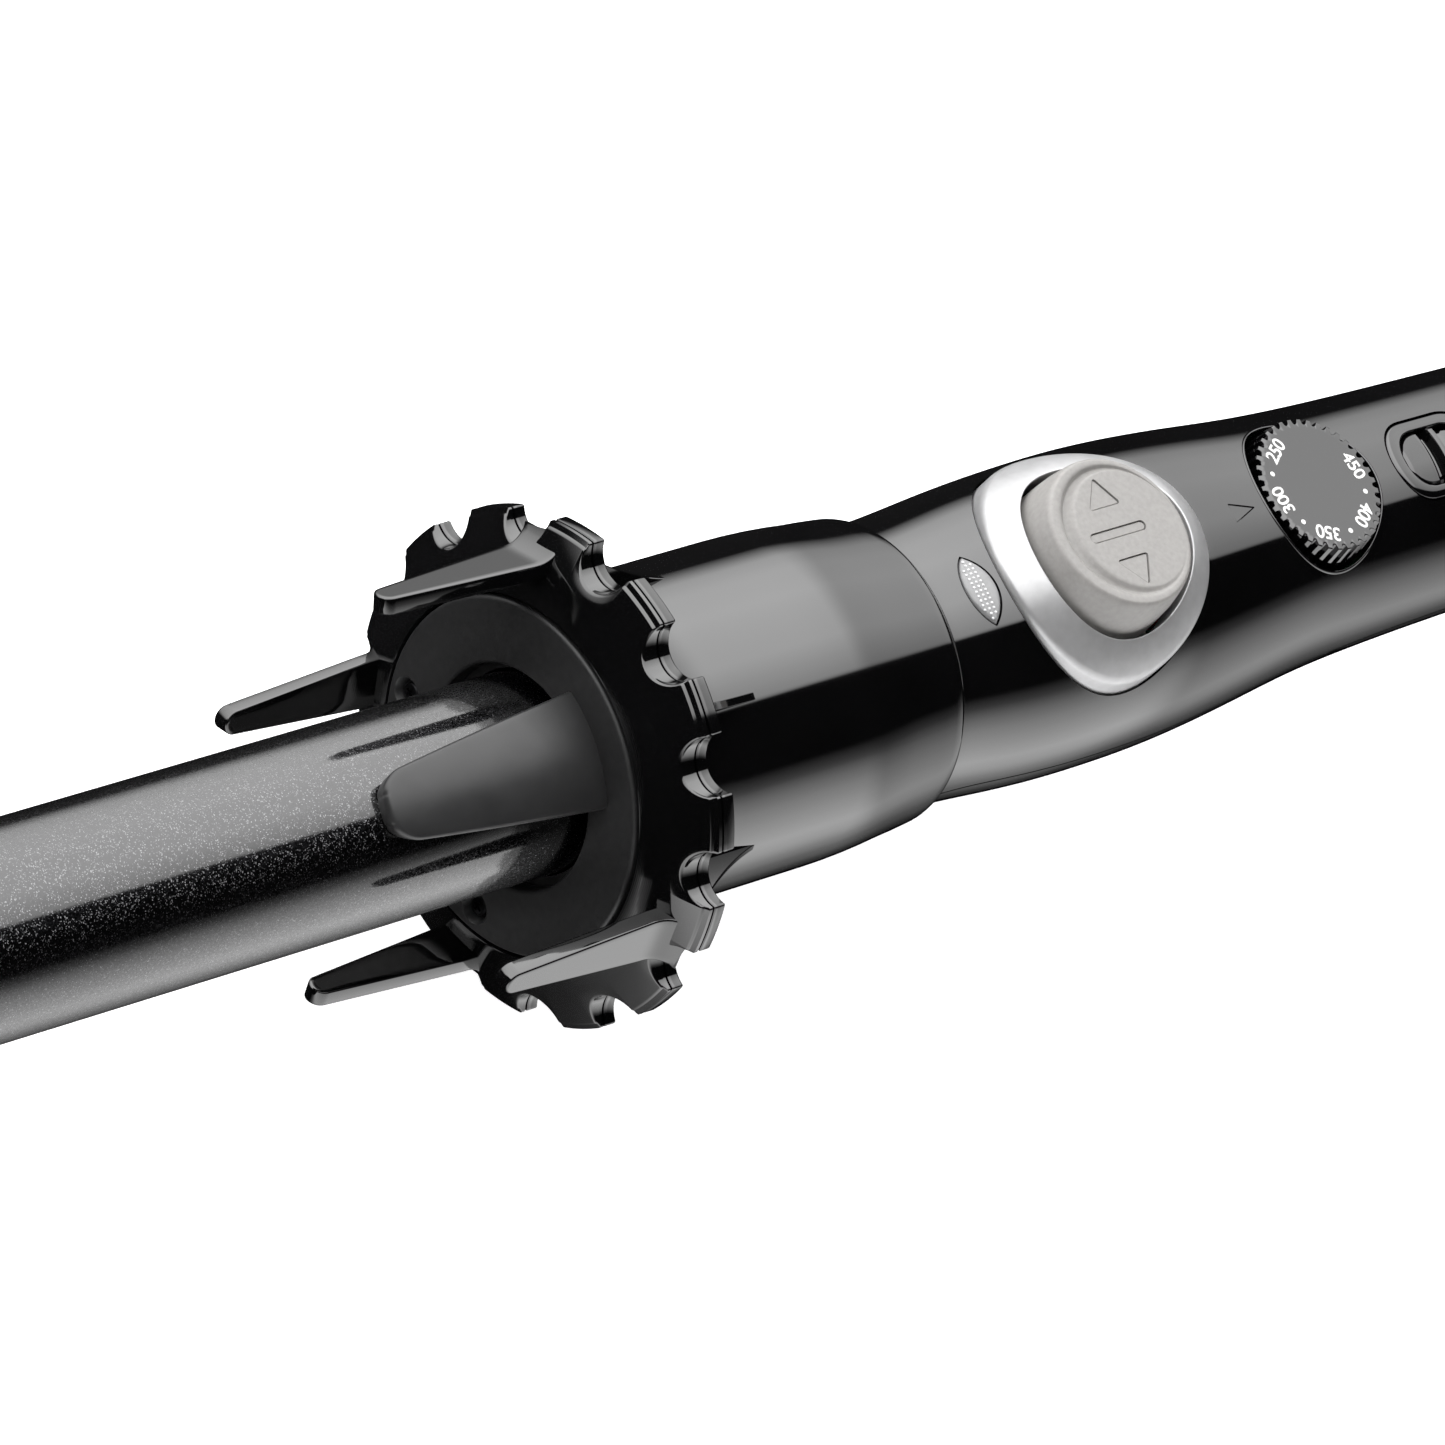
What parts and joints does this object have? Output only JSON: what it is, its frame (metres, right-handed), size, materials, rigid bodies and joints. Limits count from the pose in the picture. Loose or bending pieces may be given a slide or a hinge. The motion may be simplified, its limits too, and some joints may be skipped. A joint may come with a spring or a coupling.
{
  "type": "curling iron",
  "caption": "Motorised curling wand: a heated barrel, a fixed disc with a guard finger, and a toothed dial with prongs that turns to wind hair round the barrel.",
  "frame": {"origin": "centre of the cool tip's flat end face", "axes": "+X along the wand from the tip to the rear of the handle, +Z out of the side with the controls"},
  "size_m": [0.365, 0.0648, 0.0646],
  "materials": {
    "barrel": "dark graphite ceramic coating with fine glitter",
    "gloss_black": "high gloss black",
    "matte_black": "fine matte black",
    "satin_silver": "satin silver paint",
    "satin_chrome": "satin plated",
    "clear_lens": "clear, with a dotted relief",
    "steel": "plated",
    "aluminium": "as extruded",
    "brass": "machined",
    "ceramic": "unglazed",
    "natural_plastic": "natural nylon",
    "board_green": "solder mask",
    "lead_red": "silicone sleeve"
  },
  "bodies": {
    "wand": {"barrel_tube": "barrel", "cool_tip": "matte_black", "barrel_holder": "matte_black", "heater_core_upper": "aluminium", "heater_core_lower": "aluminium", "ptc_heater": "ceramic", "thermal_fuse": "steel", "thermistor": "ceramic", "front_disc": "matte_black", "guard_finger": "matte_black", "support_tube": "matte_black", "disc_screw_1": "steel", "disc_screw_2": "steel", "front_bush": "natural_plastic", "rear_bush": "natural_plastic", "gear_motor": "steel", "handle_upper_shell": "gloss_black", "handle_lower_shell": "gloss_black", "handle_screw_1": "steel", "handle_screw_2": "steel", "handle_screw_3": "steel", "indicator_lens": "clear_lens", "indicator_led": "clear_lens", "button_bezel": "satin_chrome", "switch_carrier": "natural_plastic", "rocker_pin": "steel", "direction_switch_left": "matte_black", "direction_switch_right": "matte_black", "potentiometer": "steel", "switch_bezel": "gloss_black", "power_switch_body": "matte_black", "circuit_board": "board_green", "power_relay": "matte_black", "heater_lead_1": "lead_red", "heater_lead_2": "lead_red"},
    "curl_dial": {"dial_front_ring": "gloss_black", "dial_sleeve": "gloss_black", "ring_gear": "brass"},
    "pinion": {"motor_shaft": "steel", "drive_pinion": "brass"},
    "direction_rocker": {"direction_rocker": "satin_silver"},
    "temperature_dial": {"temperature_dial": "gloss_black", "dial_shaft": "aluminium"},
    "power_rocker": {"power_rocker": "matte_black"},
    "cord_swivel": {"cord_swivel": "matte_black"}
  },
  "joints": [
    {"name": "curl_dial_spin", "type": "hinge", "parent": "wand", "child": "curl_dial", "pos_m": [0.14, 0, 0], "axis": [1, 0, 0], "continuous": true},
    {"name": "pinion_spin", "type": "hinge", "parent": "wand", "child": "pinion", "pos_m": [0.1873, 0, -0.01], "axis": [1, 0, 0], "continuous": true},
    {"name": "rocker_tilt", "type": "hinge", "parent": "wand", "child": "direction_rocker", "pos_m": [0.2265, 0, 0.0155], "axis": [1, 0, 0], "range_deg": [-3.5, 3.5], "stiffness_Nm_per_rad": 0.2},
    {"name": "temperature_dial_turn", "type": "hinge", "parent": "wand", "child": "temperature_dial", "pos_m": [0.2659, 0, 0], "axis": [0, 0, 1], "range_deg": [-188, 55]},
    {"name": "power_rocker_tilt", "type": "hinge", "parent": "wand", "child": "power_rocker", "pos_m": [0.2897, 0, 0.016], "axis": [0, 1, 0], "range_deg": [0, 8]},
    {"name": "cord_swivel_spin", "type": "hinge", "parent": "wand", "child": "cord_swivel", "pos_m": [0.355, 0, 0.003], "axis": [1, 0, 0], "continuous": true}
  ],
  "couplings": [
    {"joint": "pinion_spin", "follows": "curl_dial_spin", "ratio": 2.6667}
  ]
}
